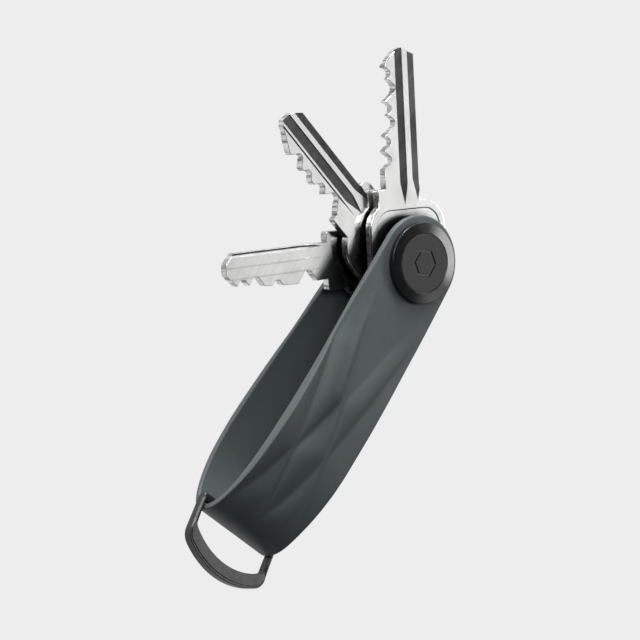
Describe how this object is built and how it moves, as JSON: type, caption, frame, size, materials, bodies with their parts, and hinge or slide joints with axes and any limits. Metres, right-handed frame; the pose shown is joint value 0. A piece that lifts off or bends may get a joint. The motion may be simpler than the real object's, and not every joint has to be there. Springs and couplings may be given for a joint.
{
  "type": "key organiser",
  "caption": "Folding key organiser: a flexible band looped round keys that fan out on a screw post, with a ring in its fold.",
  "frame": {"origin": "centre of the front button's flat face, on the axis of the post that the keys turn on", "axes": "+Z out of the front button along the post, +X from the post to the fold of the band, +Y across the band"},
  "size_m": [0.1092, 0.0519, 0.0197],
  "materials": {
    "band_rubber": "matt soft-touch",
    "eyelet_metal": "satin black",
    "black_metal": "semi-gloss black",
    "inlay_metal": "matt dark grey",
    "steel": "turned",
    "spacer_plastic": "matt black",
    "key_nickel": "polished nickel plate",
    "washer_nylon": "natural nylon",
    "ring_metal": "satin black"
  },
  "bodies": {
    "organiser": {"band": "band_rubber", "front_eyelet": "eyelet_metal", "back_eyelet": "eyelet_metal", "front_button": "black_metal", "button_inlay": "inlay_metal", "post": "steel", "spacer_1": "spacer_plastic", "spacer_2": "spacer_plastic", "spacer_3": "spacer_plastic", "spacer_4": "spacer_plastic"},
    "front_key": {"key_1": "key_nickel"},
    "middle_key": {"key_2": "key_nickel"},
    "rear_key": {"key_3": "key_nickel"},
    "screw_washer": {"friction_washer": "washer_nylon"},
    "screw": {"coin_screw": "steel", "back_button": "black_metal"},
    "ring": {"ring": "ring_metal"}
  },
  "joints": [
    {"name": "front_key_turn", "type": "hinge", "parent": "organiser", "child": "front_key", "pos_m": [0, 0, -0.00535], "axis": [0, 0, 1], "range_deg": [-219.8, 140.2]},
    {"name": "middle_key_turn", "type": "hinge", "parent": "organiser", "child": "middle_key", "pos_m": [0, 0, -0.00795], "axis": [0, 0, 1], "range_deg": [-261.1, 98.9]},
    {"name": "rear_key_turn", "type": "hinge", "parent": "organiser", "child": "rear_key", "pos_m": [0, 0, -0.01055], "axis": [0, 0, 1], "range_deg": [-310.3, 49.7]},
    {"name": "ring_swing", "type": "hinge", "parent": "organiser", "child": "ring", "pos_m": [0.0625, 0, -0.01335], "axis": [0, 1, 0], "range_deg": [-80, 110]},
    {"name": "screw_turn", "type": "hinge", "parent": "screw_washer", "child": "screw", "pos_m": [0, 0, -0.014], "axis": [0, 0, -1], "range_deg": [0, 3600]},
    {"name": "screw_travel", "type": "slide", "parent": "organiser", "child": "screw_washer", "axis": [0, 0, -1], "range_m": [0, 0.007]}
  ],
  "couplings": [
    {"joint": "screw_turn", "follows": "screw_travel", "rad_per_m": 8976}
  ]
}
